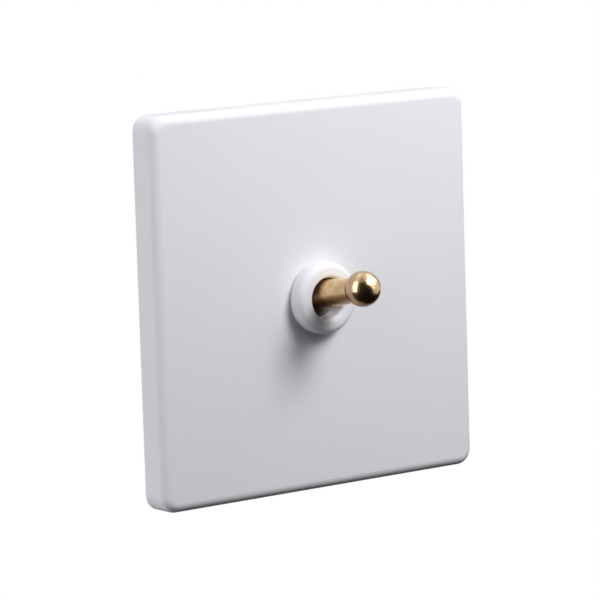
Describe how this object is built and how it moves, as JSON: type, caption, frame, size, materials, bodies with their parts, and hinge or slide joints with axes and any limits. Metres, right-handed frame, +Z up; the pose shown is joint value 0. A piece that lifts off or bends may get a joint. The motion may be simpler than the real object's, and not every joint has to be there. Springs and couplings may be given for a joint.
{
  "type": "dolly light switch",
  "caption": "Wall light switch with a ball-ended brass dolly lever in a white collar on a square white plate, with its snap mechanism and terminals behind.",
  "frame": {"origin": "on the axis of the bush, in the wall plane where the plate's rim and the yoke's back lie", "axes": "+Z up, -Y out of the wall towards the user, +X to the right seen from the front"},
  "size_m": [0.086, 0.0581, 0.086],
  "materials": {
    "white_moulding": "matt white moulded plastic",
    "turned_brass": "turned brass, polished ball and fine lathe marks on the shank",
    "plated_bush": "nickel-plated",
    "bright_steel": "bright steel",
    "zinc_steel": "zinc-plated pressed steel",
    "fibre": "vulcanised fibre sheet",
    "phenolic": "dark moulded phenolic",
    "nylon": "natural nylon",
    "contact_brass": "drawn brass",
    "silver": "silver contact rivets",
    "screw_steel": "bright plated screws"
  },
  "bodies": {
    "housing": {"front_plate": "white_moulding", "collar": "white_moulding", "bush": "plated_bush", "pivot_pin": "bright_steel", "lock_nut": "plated_bush", "lock_washer": "bright_steel", "yoke": "zinc_steel", "switch_cover": "zinc_steel", "insulating_sheet": "fibre", "base_moulding": "phenolic", "common_terminal": "contact_brass", "upper_terminal": "contact_brass", "lower_terminal": "contact_brass", "fixed_tips": "silver", "terminal_screws": "screw_steel", "earth_terminal": "contact_brass", "earth_screw": "screw_steel"},
    "lever": {"dolly": "turned_brass", "plunger_spring": "bright_steel"},
    "plunger": {"plunger": "nylon"},
    "rocker": {"rocker_contact": "contact_brass", "rocker_tips": "silver"}
  },
  "joints": [
    {"name": "dolly_tilt", "type": "hinge", "parent": "housing", "child": "lever", "pos_m": [0, -0.0053, 0], "axis": [1, 0, 0], "range_deg": [0, 20]},
    {"name": "rocker_tilt", "type": "hinge", "parent": "housing", "child": "rocker", "pos_m": [0, 0.0106, 0], "axis": [1, 0, 0], "range_deg": [-12, 0]},
    {"name": "plunger_slide", "type": "slide", "parent": "lever", "child": "plunger", "axis": [0, -0.9848, 0.1736], "range_m": [0, 0.0008], "stiffness_N_per_m": 400, "springref_m": -0.001, "deforming": ["plunger_spring"]}
  ],
  "couplings": [
    {"joint": "rocker_tilt", "follows": "dolly_tilt", "ratio": -0.6}
  ]
}
